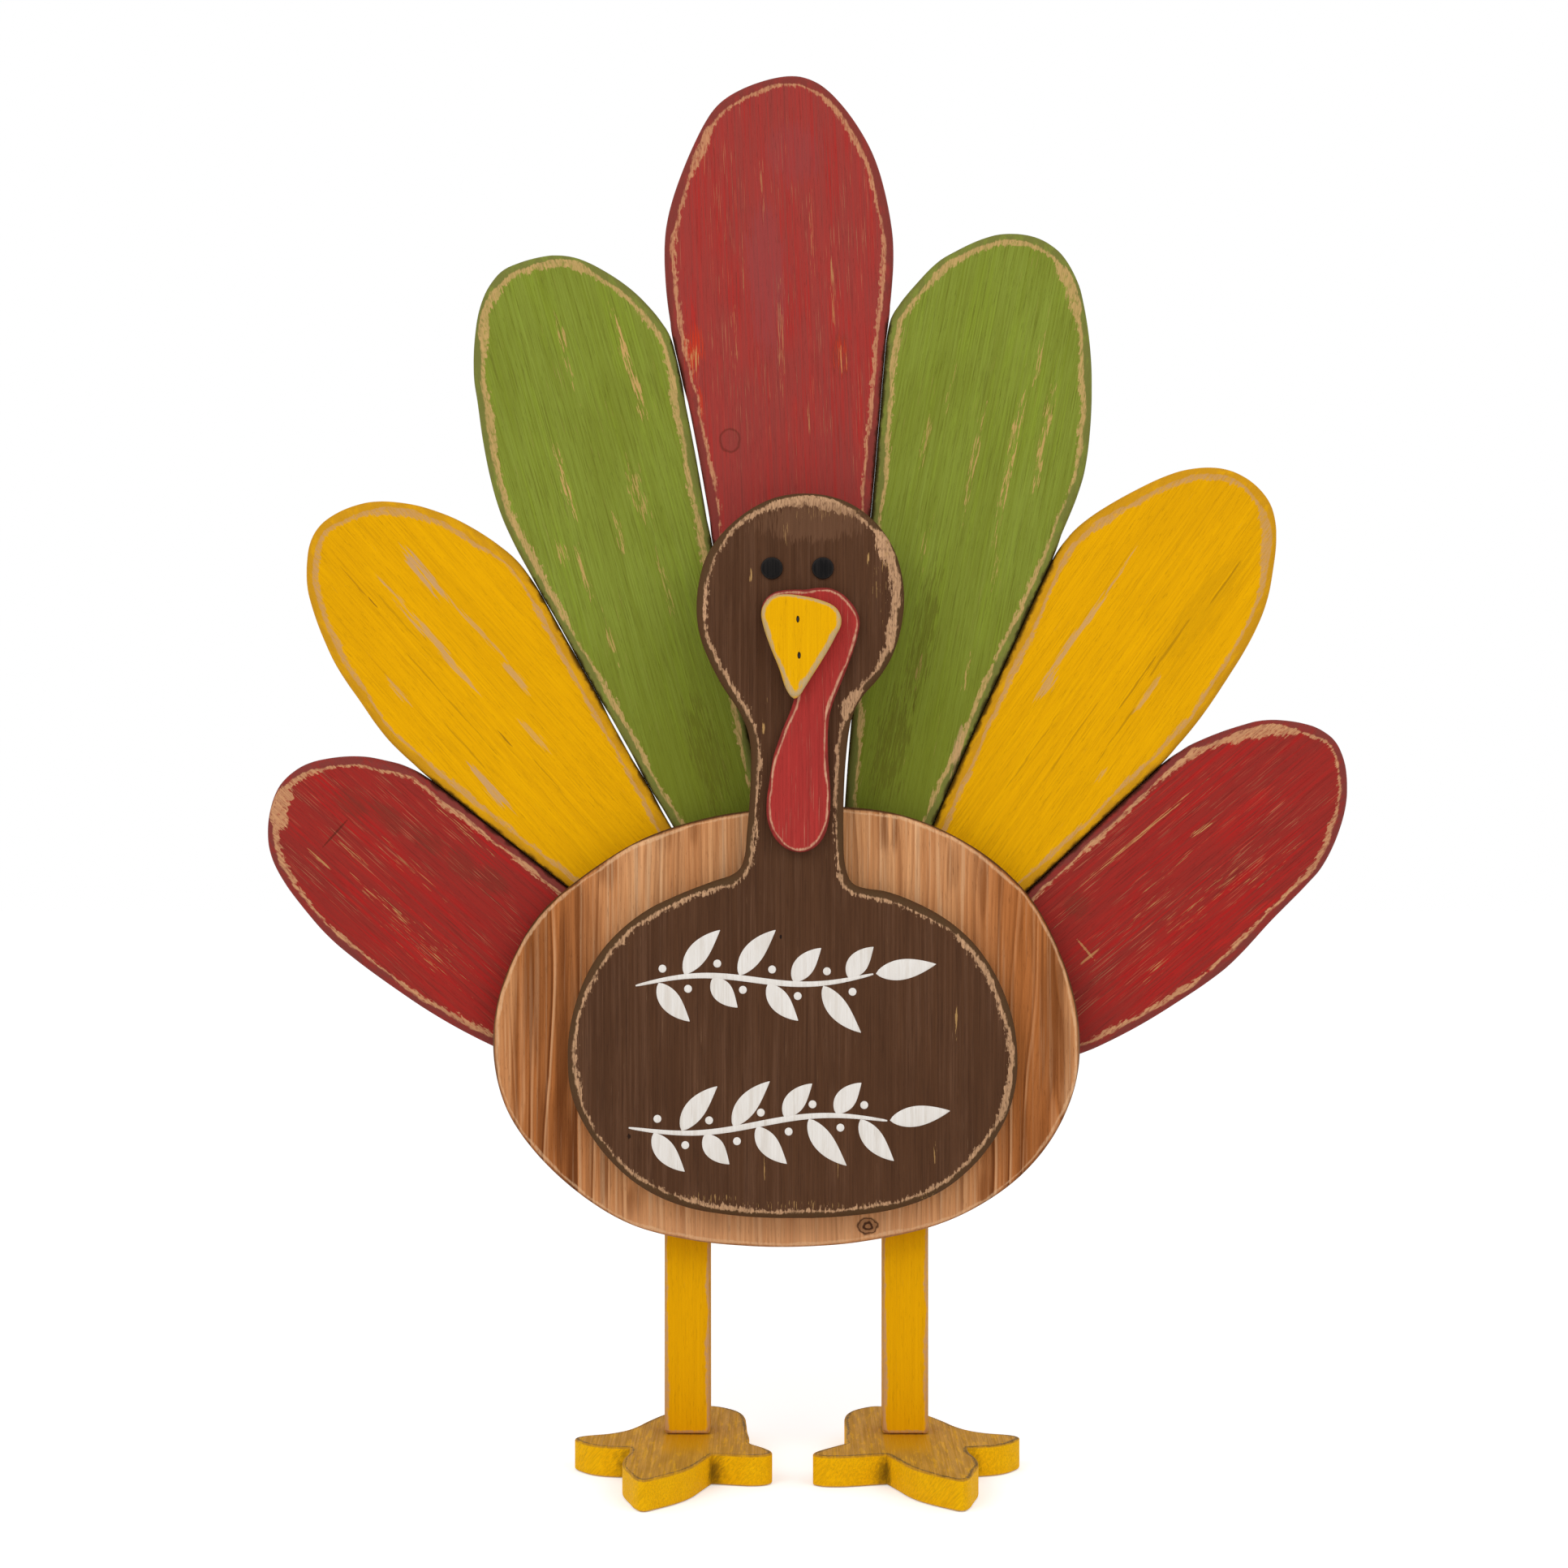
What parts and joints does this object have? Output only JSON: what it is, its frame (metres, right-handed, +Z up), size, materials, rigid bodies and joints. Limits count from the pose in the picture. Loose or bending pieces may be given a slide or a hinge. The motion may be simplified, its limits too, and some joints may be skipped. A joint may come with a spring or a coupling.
{
  "type": "standing turkey figure",
  "caption": "Free-standing wooden turkey figure: fanned tail feather boards, oval body, head and belly board with wattle, beak and eyes, square legs on toed feet.",
  "frame": {"origin": "bottom centre of the whole figure's box, on the surface it stands on", "axes": "+Z up to the tip of the middle feather, the face and belly look along -Y, +X to the right as seen from the front"},
  "size_m": [0.4744, 0.155, 0.6098],
  "materials": {
    "red_paint": "matt red paint with sanded edges and an antique glaze",
    "green_paint": "matt olive green paint with sanded edges and an antique glaze",
    "yellow_paint": "matt golden yellow paint with sanded edges",
    "stained_wood": "brown stain over streaky bare wood",
    "brown_paint": "matt dark brown paint with sanded edges",
    "wattle_paint": "matt red paint with sanded edges",
    "beak_paint": "matt yellow paint with worn edges",
    "black_paint": "satin black paint",
    "leg_paint": "matt golden yellow paint with rubbed edges",
    "foot_paint": "matt golden yellow paint, rubbed through to tan wood on top",
    "screw_steel": "zinc plated countersunk wood screws",
    "brad_steel": "darkened steel brads"
  },
  "bodies": {
    "root": {"feather_left_red": "red_paint", "feather_left_yellow": "yellow_paint", "feather_left_green": "green_paint", "feather_center_red": "red_paint", "feather_right_green": "green_paint", "feather_right_yellow": "yellow_paint", "feather_right_red": "red_paint", "body_disc": "stained_wood", "head_and_belly_board": "brown_paint", "wattle": "wattle_paint", "beak": "beak_paint", "eye_left": "black_paint", "eye_right": "black_paint", "leg_left": "leg_paint", "leg_right": "leg_paint", "foot_left": "foot_paint", "foot_right": "foot_paint", "feather_left_red_screw_1": "screw_steel", "feather_left_red_screw_2": "screw_steel", "feather_left_yellow_screw_1": "screw_steel", "feather_left_yellow_screw_2": "screw_steel", "feather_left_green_screw_1": "screw_steel", "feather_left_green_screw_2": "screw_steel", "feather_center_red_screw_1": "screw_steel", "feather_center_red_screw_2": "screw_steel", "feather_right_green_screw_1": "screw_steel", "feather_right_green_screw_2": "screw_steel", "feather_right_yellow_screw_1": "screw_steel", "feather_right_yellow_screw_2": "screw_steel", "feather_right_red_screw_1": "screw_steel", "feather_right_red_screw_2": "screw_steel", "belly_screw_1": "screw_steel", "belly_screw_2": "screw_steel", "belly_screw_3": "screw_steel", "belly_screw_4": "screw_steel", "leg_left_screw_1": "screw_steel", "leg_left_screw_2": "screw_steel", "leg_right_screw_1": "screw_steel", "leg_right_screw_2": "screw_steel", "foot_left_screw": "screw_steel", "foot_right_screw": "screw_steel", "beak_brad_1": "brad_steel", "beak_brad_2": "brad_steel"}
  },
  "joints": []
}
